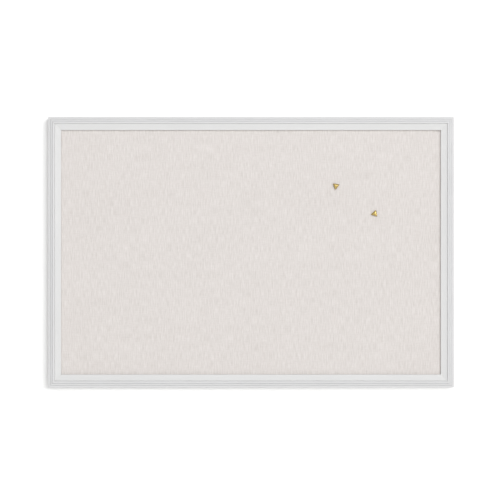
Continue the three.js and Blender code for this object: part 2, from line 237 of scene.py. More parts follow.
def wovenLinen():
    look = linenLook
    material, add, shader, place = newMaterial("wovenNaturalLinen")
    # plain weave: each yarn goes over and under the ones it crosses
    wander = add("TexNoise", {"Vector": place, "Scale": look["wanderPerMillimetre"],
                              "Detail": 2}).outputs["Color"]
    swayed = add("VectorMath", {0: wander, 1: (look["yarnWander"],) * 3, 2: place},
                 operation="MULTIPLY_ADD")
    phase = add("VectorMath", {0: swayed, "Scale": math.pi / look["yarnSpacing"]}, operation="SCALE")
    axes = add("SeparateXYZ", {0: phase})
    warpWave = add("Math", {0: axes.outputs["X"]}, operation="SINE")
    weftWave = add("Math", {0: axes.outputs["Z"]}, operation="SINE")
    crossing = add("Math", {0: warpWave, 1: weftWave}, operation="MULTIPLY")
    warpYarn = add("Math", {0: warpWave}, operation="ABSOLUTE")
    weftYarn = add("Math", {0: weftWave}, operation="ABSOLUTE")
    warpOnTop = add("MapRange", {"Value": crossing, "From Min": -look["crossing"],
                                 "From Max": look["crossing"]})
    weave = add("Mix", {0: warpOnTop, 2: weftYarn, 3: warpYarn})
    # slubs: thick and thin places, long along their own yarn
    streaks = []
    for slub, sizes in (("warpSlub", ("width", "length")), ("weftSlub", ("length", "width"))):
        across, up = [1 / look[slub][size] for size in sizes]
        stretch = add("VectorMath", {0: place, 1: (across, 0, up)}, operation="MULTIPLY")
        noise = add("TexNoise", {"Vector": stretch, "Scale": 1, "Detail": 2, "Roughness": 0.6})
        streaks.append(add("MapRange", {"Value": noise, "From Min": 0.25, "From Max": 0.75}))
    slubs = add("Math", {0: streaks[1], 1: look["weftShare"], 2: streaks[0]}, operation="MULTIPLY_ADD")
    cloud = add("TexNoise", {"Vector": place, "Scale": 1 / look["cloudSize"], "Detail": 3})
    mottled = add("Math", {0: cloud, 1: look["cloudShare"], 2: slubs}, operation="MULTIPLY_ADD")
    dull, pale = look["paleness"]
    paleness = add("MapRange", {"Value": mottled, "From Min": dull, "From Max": pale})
    # painted shade: the valleys between the yarns are darkened in the colour, on top of the slubs' own
    # paler and duller yarn
    valley = add("Math", {0: weave, 1: paleness}, operation="MULTIPLY")
    shadow = add("Mix", {0: look["weaveFade"], 2: valley, 3: paleness})
    tint = add("Mix", {0: shadow, 6: look["shadeColour"], 7: look["colour"]}, data_type="RGBA")
    fuzz = add("TexNoise", {"Vector": place, "Scale": 1 / look["fuzzSize"], "Detail": 2})
    bump = add("Bump", {"Height": slubs, "Distance": look["slubDepth"] * mm})
    for height, depth in ((weave, "yarnDepth"), (fuzz, "fuzzDepth")):
        bump = add("Bump", {"Height": height, "Distance": look[depth] * mm, "Normal": bump})
    setInputs(material, shader, {
        "Base Color": tint,
        "Roughness": look["roughness"],
        "Specular IOR Level": 0.25,
        "Sheen Weight": 0.12,
        "Sheen Roughness": 0.5,
        "Normal": bump,
    })
    return material


# Soft fibreboard, pressed from pulped wood. The eye sees dull tan felted fibre.

fibreboardLook = {
    "colour": "#b79a72",
    "shadeColour": "#92764f",
    "speckSize": 1.4,  # the length of a tuft of fibre
    "speckDepth": 0.25,
    "noise": {"Detail": 4, "Roughness": 0.7, "Distortion": 1.5},
}


def pressedFibreboard():
    return speckledMaterial("pressedSoftFibreboard", fibreboardLook, {"Roughness": 0.95})[0]


# Hardboard, wood fibre pressed hot against a wire screen. The eye sees a brown sheet with pale and
# dark flecks and the print of the screen.

hardboardLook = {
    "colour": "#8d6a46",
    "shadeColour": "#6b4c30",
    "fleckColour": "#b08d63",
    "screenSpacing": 1.6,
    "screenDepth": 0.16,
    "fleckSize": 1.4,
    "fleckDepth": 0.1,
    "fleckRange": (0.56, 0.7),  # the higher these are, the fewer flecks show
    "cloudSize": 45,
    "roughness": (0.5, 0.68),
}


def screenedHardboard():
    look = hardboardLook
    material, add, shader, place = newMaterial("screenBackedHardboard")
    cloud = add("TexNoise", {"Vector": place, "Scale": 1 / look["cloudSize"], "Detail": 5,
                             "Roughness": 0.65})
    fleck = add("TexNoise", {"Vector": place, "Scale": 1 / look["fleckSize"], "Detail": 3, "Roughness": 0.7,
                             "Distortion": 1.1})
    brown = add("Mix", {0: cloud, 6: look["shadeColour"], 7: look["colour"]}, data_type="RGBA")
    least, most = look["fleckRange"]
    pale = add("MapRange", {"Value": fleck, "From Min": least, "From Max": most, "To Max": 0.8})
    tint = add("Mix", {0: pale, 6: brown, 7: look["fleckColour"]}, data_type="RGBA")
    phase = add("VectorMath", {0: place, "Scale": math.pi / look["screenSpacing"]}, operation="SCALE")
    axes = add("SeparateXYZ", {0: phase})
    across = add("Math", {0: axes.outputs["X"]}, operation="SINE")
    up = add("Math", {0: axes.outputs["Z"]}, operation="SINE")
    screen = add("Math", {0: across, 1: up}, operation="MULTIPLY")
    low, high = look["roughness"]
    gloss = add("MapRange", {"Value": fleck, "To Min": low, "To Max": high})
    screenBump = add("Bump", {"Height": screen, "Distance": look["screenDepth"] * mm})
    bump = add("Bump", {"Height": fleck, "Distance": look["fleckDepth"] * mm, "Normal": screenBump})
    setInputs(material, shader, {"Base Color": tint, "Roughness": gloss, "Normal": bump})
    return material


# Metals. Zinc plated steel for the hardware, ground steel for the needles and polished brass for the
# pin heads. The eye sees how sharp their reflections are and, close up, fine rubbing marks.

metalNoise = {"Detail": 5, "Roughness": 0.6}
metalLooks = {
    "zincPlatedSteel": {
        "colour": "#bfc2c4",
        "shadeColour": "#a4a8ab",
        "roughness": (0.26, 0.42),
        "speckSize": 2.5,
        "speckDepth": 0.012,
        "noise": metalNoise,
    },
    "groundNeedleSteel": {
        "colour": "#c9cacb",
        "shadeColour": "#b4b5b6",
        "roughness": (0.14, 0.22),
        "speckSize": 0.3,
        "speckDepth": 0.004,
        "noise": metalNoise,
    },
    "polishedBrass": {
        "colour": "#ccb372",
        "shadeColour": "#b29b5c",
        "roughness": (0.14, 0.24),
        "speckSize": 1.2,
        "speckDepth": 0.008,
        "noise": metalNoise,
    },
}


def metal(name):
    look = metalLooks[name]
    material, add, shader, speck = speckledMaterial(name, look, {"Metallic": 1.0})
    low, high = look["roughness"]
    gloss = add("MapRange", {"Value": speck, "From Min": 0.3, "From Max": 0.7, "To Min": low,
                             "To Max": high})
    setInputs(material, shader, {"Roughness": gloss})
    return material


# Moulded polyurethane rubber. The eye sees a milky pale grey with a soft edge to its highlights.

rubberLook = {
    "colour": "#d2d2cd",
    "shadeColour": "#c6c6c0",
    "speckSize": 2.0,
    "speckDepth": 0.02,
    "noise": {"Detail": 3},
    "glowDepth": 2.0,  # how far light goes into it
}


def mouldedRubber():
    return speckledMaterial("mouldedPolyurethane", rubberLook, {
        "Roughness": 0.42,
        "IOR": 1.5,
        "Subsurface Weight": 0.25,
        "Subsurface Scale": rubberLook["glowDepth"] * mm,
    })[0]


enamel = satinEnamel()
pine = barePine()
linenCloth = wovenLinen()
fibreboard = pressedFibreboard()
hardboard = screenedHardboard()
zincSteel = metal("zincPlatedSteel")
needleSteel = metal("groundNeedleSteel")
brass = metal("polishedBrass")
rubber = mouldedRubber()
print("materials made")


# Shapes are skinned over loops of points, given in millimetres

weldDistance = 1e-6
cornerIn = 0.3  # how far in a rounded corner's middle point lies, as a share of its radius
mostRound = 0.6  # how much of a narrow strip's half width the rounding of its edge may take


def newObject(name, mesh):
    obj = bpy.data.objects.new(name, mesh)
    bpy.context.scene.collection.objects.link(obj)
    return obj


def skin(name, loops, capped=True):
    # joins loops of equally many points into one mesh
    count = len(loops[0])
    points = [tuple(c * mm for c in p) for loop in loops for p in loop]
    faces = []
    for here in range(0, (len(loops) - 1) * count, count):
        for i in range(count):
            j = (i + 1) % count
            faces.append((here + i, here + j, here + count + j, here + count + i))
    if capped:
        faces.append(tuple(range(count)))
        faces.append(tuple(range((len(loops) - 1) * count, len(loops) * count)))
    mesh = bpy.data.meshes.new(name)
    mesh.from_pydata(points, [], faces)
    shape = bmesh.new()
    shape.from_mesh(mesh)
    bmesh.ops.remove_doubles(shape, verts=shape.verts, dist=weldDistance)
    bmesh.ops.dissolve_degenerate(shape, edges=shape.edges, dist=weldDistance / 10)
    bmesh.ops.recalc_face_normals(shape, faces=shape.faces)
    shape.to_mesh(mesh)
    shape.free()
    return newObject(name, mesh)


def prism(outline, x, z, ys):
    # a straight cutter between two values of y
    return skin("cutter", [[(x + across, y, z + up) for across, up in outline] for y in ys])


def circle(radius, count):
    turns = [2 * math.pi * i / count for i in range(count)]
    return [(radius * math.cos(a), radius * math.sin(a)) for a in turns]


def turnedLoops(profile, count):
    # round the y axis, from a list of (radius, y)
    return [[(x, y, z) for x, z in circle(radius, count)] for radius, y in profile]


def turned(name, profile, count):
    return skin(name, turnedLoops(profile, count))


def arc(x, z, radius, start, finish, steps):
    # both its ends and what lies between them, with the angles in degrees
    turns = [math.radians(start + (finish - start) * k / steps) for k in range(steps + 1)]
    return [(x + radius * math.cos(a), z + radius * math.sin(a)) for a in turns]


def softened(corners, steps=4):
    # corners are ((across, up), radius) going round; a radius rounds the corner off
    points = []
    for i, (corner, radius) in enumerate(corners):
        here = Vector(corner)
        if radius == 0:
            points.append(here)
            continue
        before = Vector(corners[i - 1][0]) - here
        after = Vector(corners[(i + 1) % len(corners)][0]) - here
        half = before.angle(after) / 2
        reach = min(radius / math.tan(half), before.length / 2, after.length / 2)
        start, end = here + before.normalized() * reach, here + after.normalized() * reach
        points += bend(start, here, end, [k / steps for k in range(steps + 1)])
    return points


def bend(start, pull, end, shares):
    # points on a quadratic curve
    return [start * (1 - t) ** 2 + pull * 2 * t * (1 - t) + end * t ** 2 for t in shares]


def sheetStrip(name, stations, thickness, edgeRound):
    # bent or cut from sheet: each station is (y, z, normal y, normal z, half width)
    loops = []
    half = thickness / 2
    for y, z, ny, nz, width in stations:
        soft = min(edgeRound, width * mostRound)
        corner = [(width, half - soft), (width - soft * cornerIn, half - soft * cornerIn),
                  (width - soft, half)]
        loop = []
        for sx, sn in ((1, 1), (-1, 1), (-1, -1), (1, -1)):
            turn = [(sx * a, sn * b) for a, b in corner]
            loop += turn if sx == sn else turn[::-1]
        loops.append([(x, y + ny * n, z + nz * n) for x, n in loop])
    return skin(name, loops)


def discard(obj):
    mesh = obj.data
    bpy.data.objects.remove(obj)
    bpy.data.meshes.remove(mesh)


def applyModifiers(obj):
    # the modifiers' result becomes the mesh
    bpy.context.view_layer.update()
    seen = obj.evaluated_get(bpy.context.evaluated_depsgraph_get())
    old, obj.data = obj.data, bpy.data.meshes.new_from_object(seen)
    obj.modifiers.clear()
    bpy.data.meshes.remove(old)
    obj.data.name = obj.name


def carve(obj, cutters, operation="DIFFERENCE"):
    shape = bmesh.new()
    for tool in cutters:
        start = len(shape.verts)
        shape.from_mesh(tool.data)
        shape.verts.ensure_lookup_table()
        for vertex in shape.verts[start:]:
            vertex.co = tool.matrix_world @ vertex.co
        discard(tool)
    mesh = bpy.data.meshes.new("cutter")
    shape.to_mesh(mesh)
    shape.free()
    cutter = newObject("cutter", mesh)
    modifier = obj.modifiers.new("carve", "BOOLEAN")
    modifier.operation = operation
    modifier.solver = "EXACT"
    modifier.object = cutter
    applyModifiers(obj)
    discard(cutter)


def placePiece(obj, body, nodeNames, materials, matrix=None, sharpDegrees=32):
    for material in materials:
        obj.data.materials.append(material)
    obj.data.polygons.foreach_set("use_smooth", [True] * len(obj.data.polygons))
    obj.data.set_sharp_from_angle(angle=math.radians(sharpDegrees))
    if matrix is not None:
        obj.matrix_world = matrix
    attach(obj, body)
    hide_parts(*nodeNames)


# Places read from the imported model, in metres

def middleOf(node):
    low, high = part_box(node)
    return (low + high) / 2


def halfSize(node):
    # half its width and half its height, in millimetres
    low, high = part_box(node)
    return (high.x - low.x) / 2 / mm, (high.z - low.z) / 2 / mm


frameHalfWidth = -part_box("left_stile")[0].x
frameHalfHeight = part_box("top_rail")[1].z
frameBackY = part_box("top_rail")[1].y


# Camera, square on to the front

cameraView = {
    "lens": 135,
    "sensorWidth": 36,
    "pixelSize": 1.877,  # millimetres of the frame's face in one pixel
    "imageWidth": 500,
    "sidewaysShift": -1.9,
    "upShift": 4.3,
    "faceHeight": 19.2,  # the frame's outer edge, in front of its back
    "farthest": 50000,
}


def makeCamera():
    look = cameraView
    data = bpy.data.cameras.new("camera")
    data.lens = look["lens"]
    data.sensor_width = look["sensorWidth"]
    data.clip_end = look["farthest"] * mm
    halfView = look["pixelSize"] * look["imageWidth"] / 2
    distance = halfView / (look["sensorWidth"] / 2 / look["lens"])
    camera = newObject("camera", data)
    faceY = frameBackY / mm - look["faceHeight"]
    camera.location = Vector((look["sidewaysShift"], faceY - distance, look["upShift"])) * mm
    camera.rotation_euler = (math.pi / 2, 0, 0)
    bpy.context.scene.camera = camera


makeCamera()


# Mitred moulding rails. Across runs inward from the outer edge and up runs forward from the back.

moulding = {
    "bandWidths": (4.7, 3.7),
    "crestWidth": 3.8,
    "coveWidth": 11.4,
    "lipRound": 1.0,
    "outerWallHeight": 19.2,
    "outerEdgeRound": 0.8,
    "bandSlope": 0.2,
    "bandStep": 1.2,
    "crestRise": 0.9,
    "crestFoot": 0.2,
    "coveDrop": 1.4,
    "coveFall": 1.8,
    "coveHollow": 1.0,
    "coveHollowShare": 0.45,
    "quirk": (0.9, 1.1),  # width and depth of the fine groove at the foot of each step
    "quirkShare": 0.4,  # how far out its bottom lies
    "lipThickness": 3.9,
    "rabbetWidth": 6.6,
    "paintedEdge": 0.25,  # how paint softens an outside corner
    "paintedRoot": 0.2,  # and an inside one
    "sawnEdge": 0.3,
    "mitreGap": 0.03,  # each end is short by this, so that the joint is a hairline
    "crestSteps": 14,
    "coveSteps": 22,
    # bare wood starts this far in from the outer edge and, inside the rabbet, above its ledge
    "bareFrom": {"back": 0.1, "inside": 0.6, "ledge": 0.1},
}


def mouldingSection():
    # returns the section's points, where the rabbet's wall is and how high its ledge is
    size = moulding
    middle = size["bandWidths"][0]
    crest = middle + size["bandWidths"][1]
    cove = crest + size["crestWidth"]
    lip = cove + size["coveWidth"]
    sight = lip + size["lipRound"]
    land = sight - size["rabbetWidth"]
    wall = size["outerWallHeight"]
    bandTop = wall + size["bandSlope"]
    middleTop = bandTop + size["bandStep"] + size["bandSlope"]
    crestOuter = middleTop + size["bandStep"]
    crestInner = crestOuter - size["crestFoot"]
    coveTop = crestInner - size["coveDrop"]
    lipTop = coveTop - size["coveFall"]
    ledge = lipTop - size["lipRound"] - size["lipThickness"]
    edge, root, sawn = size["paintedEdge"], size["paintedRoot"], size["sawnEdge"]
    grooveWidth, grooveDepth = size["quirk"]
    bottom = grooveWidth * size["quirkShare"]
    crestCurve = bend(Vector((crest, crestOuter)),
                      Vector(((crest + cove) / 2, crestOuter + size["crestRise"])),
                      Vector((cove, crestInner)),
                      [k / size["crestSteps"] for k in range(1, size["crestSteps"])])
    coveCurve = bend(Vector((cove + grooveWidth, coveTop)),
                     Vector((cove + size["coveHollowShare"] * size["coveWidth"],
                             coveTop - size["coveHollow"])),
                     Vector((lip, lipTop)),
                     [k / size["coveSteps"] for k in range(1, size["coveSteps"])])
    corners = [((0, wall), size["outerEdgeRound"])]
    for across, foot, top in ((middle, bandTop, bandTop + size["bandStep"]),
                              (crest, middleTop, crestOuter)):
        corners += [
            ((across - grooveWidth, foot), root),
            ((across - bottom, foot - grooveDepth), root),
            ((across, top), edge),
        ]
    corners += [
        *[(tuple(p), 0) for p in crestCurve],
        ((cove, crestInner), edge),
        ((cove + bottom, coveTop - grooveDepth), root),
        ((cove + grooveWidth, coveTop), root),
        *[(tuple(p), 0) for p in coveCurve],
        ((sight, lipTop), size["lipRound"]),
        ((sight, ledge), sawn),
        ((land, ledge), root),
        ((land, 0), sawn),
        ((0, 0), sawn),
    ]
    return softened(corners), land, ledge


def makeRail(name, halfLength, cutters, nodeMatrix):
    points, land, ledge = mouldingSection()
    ends = halfLength - moulding["mitreGap"]
    rail = skin(name, [[(end * (ends - p.x), -p.y, p.x) for p in points] for end in (-1, 1)])
    carve(rail, cutters)
    placePiece(rail, "board", [name], [enamel, pine], nodeMatrix)
    start = moulding["bareFrom"]
    margin = 0.5
    sight = max(p.x for p in points)
    for polygon in rail.data.polygons:
        facing = polygon.normal
        inward, behind = polygon.center.z / mm, polygon.center.y / mm + ledge
        isBack = facing.y > 0.5 and inward > start["back"]
        isRabbet = facing.z > 0.5 and inward < land + margin and behind > -margin
        isInside = start["inside"] < inward < sight - 1 and behind > start["ledge"]
        isMitre = abs(facing.x) > 0.5
        polygon.material_index = 1 if isBack or isRabbet or isInside or isMitre else 0


# V-nails: bent strips of hardened steel, driven in flush, one leg into each rail of a mitre

vNail = {
    "leg": 4.0,
    "thickness": 0.5,
    "height": 9.0,
    "insets": {"outer": 4.5, "inner": 10.0},
    "sink": 0.3,  # below the wood
    "bendRounds": (0.5, 0.25),  # outside and inside
    "hook": 0.35,  # how far the legs' ends turn out
    "hookLength": 1.2,
    "hookRound": 0.4,
    "endRound": 0.05,
    "sharpening": 1.2,
    "sharpness": 0.85,
    "topRow": 0.05,  # a row of points this far down keeps the top's edge crisp
    "slotClearance": 0.05,
}


def vNailOutline(grow=0.0, mirror=1):
    size = vNail
    thick, hook = size["thickness"], size["hook"]
    turn, end = size["leg"] - size["hookLength"], size["leg"] + grow
    outer, inner = size["bendRounds"]
    lowerLeg = [
        ((turn, -grow), size["hookRound"]),
        ((end, -hook - grow), size["endRound"]),
        ((end, thick - hook + grow), size["endRound"]),
        ((turn, thick + grow), size["hookRound"]),
    ]
    upperLeg = [((up, across), radius) for (across, up), radius in reversed(lowerLeg)]
    corners = [((-grow, -grow), outer), *lowerLeg, ((thick + grow, thick + grow), inner), *upperLeg]
    return [(mirror * p.x, p.y) for p in softened(corners, 3)]


def vNailSlots(halfLength):
    size = vNail
    depth = size["sink"] + size["height"] + size["slotClearance"]
    slots = []
    for inset in size["insets"].values():
        for end in (-1, 1):
            outline = vNailOutline(size["slotClearance"], -end)
            slots.append(prism(outline, end * (halfLength - inset), inset, (1.0, -depth)))
    return slots


def makeVNail(name, which, halfLength, nodeMatrix):
    size = vNail
    inset = size["insets"][which]
    core = size["thickness"] / 2
    top = size["sink"]
    bottom = top + size["height"]
    loops = []
    for depth, share in ((top, 0), (top + size["topRow"], 0), (bottom - size["sharpening"], 0),
                         (bottom, size["sharpness"])):
        loop = []
        for x, z in vNailOutline():
            # the cutting edge narrows each leg to its middle line
            thinX = x + (core - x) * share if z > x else x
            thinZ = z + (core - z) * share if x > z else z
            loop.append((inset - halfLength + thinX, -depth, inset + thinZ))
        loops.append(loop)
    placePiece(skin(name, loops), "board", [name], [zincSteel], nodeMatrix)


# Flexible points: soft steel blades pressed into the rabbet, their free end lying over the backing

flexPoint = {
    "width": 8.0,
    "thickness": 0.4,
    "edgeRound": 0.08,
    "reach": 8.0,
    "embed": 5.5,
    "tip": 3.0,
    "tipRows": (0.02, 0.5, 1.0),
    "cornerRound": 1.6,
    "ribPlace": 1.8,  # the stamped rib that stiffens the blade
    "ribWidth": 0.9,
    "ribHeight": 0.25,
    "slotClearance": 0.06,
    "railCount": 4,
    "stileCount": 3,
}


def flexPointStations():
    size = flexPoint
    half = size["width"] / 2
    stations = []
    for share in size["tipRows"]:
        stations.append((0, share * size["tip"] - size["embed"], 1, 0, half * share))
    for k in range(-6, 7):
        rise = size["ribHeight"] * 0.5 * (1 + math.cos(math.pi * k / 6))
        stations.append((rise, size["ribPlace"] + k / 6 * size["ribWidth"], 1, 0, half))
    radius = size["cornerRound"]
    corner = arc(half - radius, size["reach"] - radius, radius, 0, 90, 6)
    return stations + [(0, along, 1, 0, width) for width, along in corner]


def flexPointPlaces(halfLength, count, land):
    run = 2 * (halfLength - land)
    return [((i + 0.5) / count - 0.5) * run for i in range(count)]


def flexPointSlots(halfLength, count, land, depthY):
    size = flexPoint
    grow = size["slotClearance"]
    half = size["width"] / 2 + grow
    shoulder = size["tip"] - size["embed"] - grow
    outline = [(-half, 3), (half, 3), (half, shoulder), (0, -size["embed"] - 2 * grow),
               (-half, shoulder)]
    ys = [depthY + side * (size["thickness"] / 2 + grow) for side in (-1, 1)]
    return [prism(outline, x, land, ys) for x in flexPointPlaces(halfLength, count, land)]


def makeFlexPoint(name, x, depthY, land, nodeMatrix):
    point = sheetStrip(name, flexPointStations(), flexPoint["thickness"], flexPoint["edgeRound"])
    matrix = nodeMatrix @ Matrix.Translation(Vector((x, depthY, land)) * mm)
    placePiece(point, "board", [name], [zincSteel], matrix)


# Screws: pan heads with a cross recess, the shank threaded into the wood

screwShape = {
    "headRadius": 3.3,
    "headHeight": 1.9,
    "headChamfer": 0.15,
    "crownHeight": 0.95,
    "crownReach": 1.35,
    "flatRadius": 0.9,
    "rootRadius": 1.1,
    "threadRadius": 1.5,
    "threadPitch": 1.25,
    "ridgeShare": 0.3,  # half a ridge's foot, as a share of the pitch
    "runOut": 1.5,
    "length": 12.0,
    "pointLength": 3.0,
    "pointRadius": 0.02,
    "recessDepth": 1.25,
    "recessLength": 3.9,
    "recessWidth": 0.85,
    "recessTaper": (1 / 2, 2 / 3),  # how long and how wide it still is at its foot
    "cutAbove": 0.6,  # the cutter starts this far above the head
    "pilotClearance": 0.05,
    "sides": 28,
    "rowsPerTurn": 10,
}


def threadLoops():
    size = screwShape
    length, pitch, root = size["length"], size["threadPitch"], size["rootRadius"]
    rows = int(length / pitch * size["rowsPerTurn"])
    loops = []
    for row in range(rows + 1):
        depth = length * (1 - row / rows)
        taper = min(1.0, (length - depth) / size["pointLength"])
        fade = min(1.0, depth / size["runOut"]) * taper
        loop = []
        for i in range(size["sides"]):
            turn = i / size["sides"]
            phase = (depth / pitch + turn) % 1
            ridge = max(0.0, 1 - abs(phase - 0.5) / size["ridgeShare"])
            radius = root * taper + (size["threadRadius"] - root) * ridge * fade
            radius = max(radius, size["pointRadius"])
            angle = 2 * math.pi * turn
            loop.append((radius * math.cos(angle), -depth, radius * math.sin(angle)))
        loops.append(loop)
    return loops


def makeScrew(name, matrix):
    size = screwShape
    radius, height, chamfer = size["headRadius"], size["headHeight"], size["headChamfer"]
    crown, reach = size["crownHeight"], size["crownReach"]
    head = [(radius - chamfer, 0.0), (radius, chamfer)]
    for across, up in arc(0, 0, 1, 0, 90, 8):
        head.append((radius - reach + reach * across, crown + (height - crown) * up))
    head.append((size["flatRadius"], height))
    screw = skin(name, threadLoops() + turnedLoops(head, size["sides"]))
    for turn in (0, math.pi / 2):
        wing = []
        for up, share in ((size["cutAbove"], (1, 1)), (-size["recessDepth"], size["recessTaper"])):
            x, z = size["recessLength"] / 2 * share[0], size["recessWidth"] / 2 * share[1]
            wing.append([(sx * x, height + up, sz * z) for sx, sz in ((-1, -1), (1, -1), (1, 1), (-1, 1))])
        cutter = skin("wing", wing)
        cutter.matrix_world = Matrix.Rotation(turn, 4, "Y")
        bpy.context.view_layer.update()
        carve(screw, [cutter])
    placePiece(screw, "board", [name], [zincSteel], matrix)


def screwPilot(x, land):
    size = screwShape
    outline = circle(size["threadRadius"] + size["pilotClearance"], size["sides"])
    return prism(outline, x, land / 2, (1.0, -size["length"] - 0.1))


def buildFrame():
    land = mouldingSection()[1]
    halfWidth, halfHeight = frameHalfWidth / mm, frameHalfHeight / mm
    # the blades' middle plane, measured from the frame's back
    bladeY = (middleOf("flexible_point_top_1").y - frameBackY) / mm
    screwZ = middleOf("hanger_screw_left").z / mm
    rail = (halfWidth, halfHeight, flexPoint["railCount"])
    stile = (halfHeight, halfWidth, flexPoint["stileCount"])
    sides = [
        ("bottom_rail", rail, "bottom", "bottom_left", 0, None),
        ("top_rail", rail, "top", "top_right", 180, None),
        ("left_stile", stile, "left", "top_left", 90, -screwZ),
        ("right_stile", stile, "right", "bottom_right", -90, screwZ),
    ]
    for name, (halfLength, reach, count), edge, corner, turn, pilot in sides:
        matrix = Matrix.Rotation(math.radians(turn), 4, "Y")
        matrix = matrix @ Matrix.Translation((0, frameBackY, -reach * mm))
        cutters = vNailSlots(halfLength) + flexPointSlots(halfLength, count, land, bladeY)
        if pilot is not None:
            cutters.append(screwPilot(pilot, land))
        makeRail(name, halfLength, cutters, matrix)
        for which in vNail["insets"]:
            makeVNail(f"v_nail_{corner}_{which}", which, halfLength, matrix)
        for i, x in enumerate(flexPointPlaces(halfLength, count, land)):
            makeFlexPoint(f"flexible_point_{edge}_{i + 1}", x, bladeY, land, matrix)


buildFrame()
print("frame built")


# Linen, wrapped round the panel with its hem turned in behind

linenWrap = {
    "clothThickness": 0.5,
    "edgeRound": 1.2,
    "turnIn": 25.0,
    "hemRows": (0.4, 0.8, 1.0),
    "acrossSpacing": 1.6,
    "upSpacing": 6.2,
    "slubHeight": 0.09,
    "slubCell": (2.4, 17.0),  # width and length
    "finer": (1.7, 1.8),  # how much smaller the fine slubs are
    "weftCell": (26.0, 5.0),
    "slubShares": (0.6, 0.4, 0.3),  # of the slubs, the fine ones and the weft's
    "panelWave": 0.05,  # the board under it isn't quite flat
    "waveCell": (130.0, 110.0),
    "coveredEdge": 8.0,  # the relief ends here, before the frame's lip
    "fade": 6.0,
    "holeRadius": 0.6,
    "holeSides": 16,
    "holePatch": (1.6, 3.5),  # faces taken out round a hole, and how far off their rim is looked for
    "holeRim": (8.0, 12.0),
    "holeDepth": 0.1,
    "dimple": 0.25,
    "dimpleSize": (3.0, 3.6),
    "seed": 7,
}


def smoothNoise(x, z, cell, seed):
    # value noise between -1 and 1 on arrays of places
    generator = np.random.default_rng(seed)
    gx, gz = x / cell[0], z / cell[1]
    ix, iz = np.floor(gx).astype(int), np.floor(gz).astype(int)
    ix0, iz0 = ix.min(), iz.min()
    table = generator.uniform(-1, 1, (ix.max() - ix0 + 2, iz.max() - iz0 + 2))
    fx, fz = gx - ix, gz - iz
    sx, sz = fx * fx * (3 - 2 * fx), fz * fz * (3 - 2 * fz)
    ax, az = ix - ix0, iz - iz0
    low = table[ax, az] * (1 - sx) + table[ax + 1, az] * sx
    high = table[ax, az + 1] * (1 - sx) + table[ax + 1, az + 1] * sx
    return low * (1 - sz) + high * sz


def linenRelief(x, z, halfX, halfZ, pinSpots):
    size = linenWrap
    width, length = size["slubCell"]
    finer = (width / size["finer"][0], length / size["finer"][1])
    cells = (size["slubCell"], finer, size["weftCell"], size["waveCell"])
    slubs, fine, weft, wave = [smoothNoise(x, z, cell, size["seed"] + i) for i, cell in enumerate(cells)]
    ofSlubs, ofFine, ofWeft = size["slubShares"]
    streaks = slubs * ofSlubs + fine * ofFine + weft * ofWeft
    fade = 1.0
    for place, half in ((x, halfX), (z, halfZ)):
        fade = fade * np.clip((half - size["coveredEdge"] - np.abs(place)) / size["fade"], 0, 1)
    relief = (size["slubHeight"] * streaks + size["panelWave"] * wave) * fade
    across, up = size["dimpleSize"]
    for px, pz in pinSpots:
        away = np.hypot((x - px) / across, (z - pz) / up)
        relief = relief + size["dimple"] * np.exp(-away ** 2)
    return relief


def linenRim(frontY, backY):
    # how far out of the flat front each row lies, and its y: round, down the side, round and inward
    radius, turnIn = linenWrap["edgeRound"], linenWrap["turnIn"]
    rows = arc(0, frontY + radius, radius, -90, 0, 4)[1:]
    rows.append((radius, (frontY + backY) / 2))
    rows += arc(0, backY - radius, radius, 0, 90, 4)
    return rows + [(radius - turnIn * share, backY) for share in linenWrap["hemRows"]]


def makeLinen(pinSpots):
    size = linenWrap
    halfX, halfZ = halfSize("linen_cover")
    frontY, backY = [corner.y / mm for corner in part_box("linen_cover")]
    flatX, flatZ = halfX - size["edgeRound"], halfZ - size["edgeRound"]
    countX = round(2 * flatX / size["acrossSpacing"]) + 1
    countZ = round(2 * flatZ / size["upSpacing"]) + 1
    xs, zs = np.linspace(-flatX, flatX, countX), np.linspace(-flatZ, flatZ, countZ)
    gridX, gridZ = np.meshgrid(xs, zs, indexing="ij")
    relief = linenRelief(gridX, gridZ, halfX, halfZ, pinSpots)
    points = [(x, frontY + dy, z) for x, z, dy in zip(gridX.ravel(), gridZ.ravel(), relief.ravel())]
    faces = []
    for i in range(countX - 1):
        for j in range(countZ - 1):
            a = i * countZ + j
            faces.append((a, a + 1, a + countZ + 1, a + countZ))
    # the rim runs on from the grid's edge
    border = [(i, 0) for i in range(countX)]
    border += [(countX - 1, j) for j in range(1, countZ)]
    border += [(i, countZ - 1) for i in range(countX - 2, -1, -1)]
    border += [(0, j) for j in range(countZ - 2, 0, -1)]
    previous = [i * countZ + j for i, j in border]
    for grow, y in linenRim(frontY, backY):
        start = len(points)
        for i, j in border:
            points.append((xs[i] * (flatX + grow) / flatX, y, zs[j] * (flatZ + grow) / flatZ))
        ring = list(range(start, start + len(border)))
        for k in range(len(border)):
            after = (k + 1) % len(border)
            faces.append((previous[k], ring[k], ring[after], previous[after]))
        previous = ring
    mesh = bpy.data.meshes.new("linen_cover")
    mesh.from_pydata([tuple(c * mm for c in p) for p in points], [], faces)
    cutPinHoles(mesh, pinSpots, (frontY + backY) / 2)
    linen = newObject("linen_cover", mesh)
    thick = linen.modifiers.new("cloth", "SOLIDIFY")
    thick.thickness = size["clothThickness"] * mm
    thick.offset = -1
    applyModifiers(linen)
    placePiece(linen, "board", ["linen_cover"], [linenCloth])


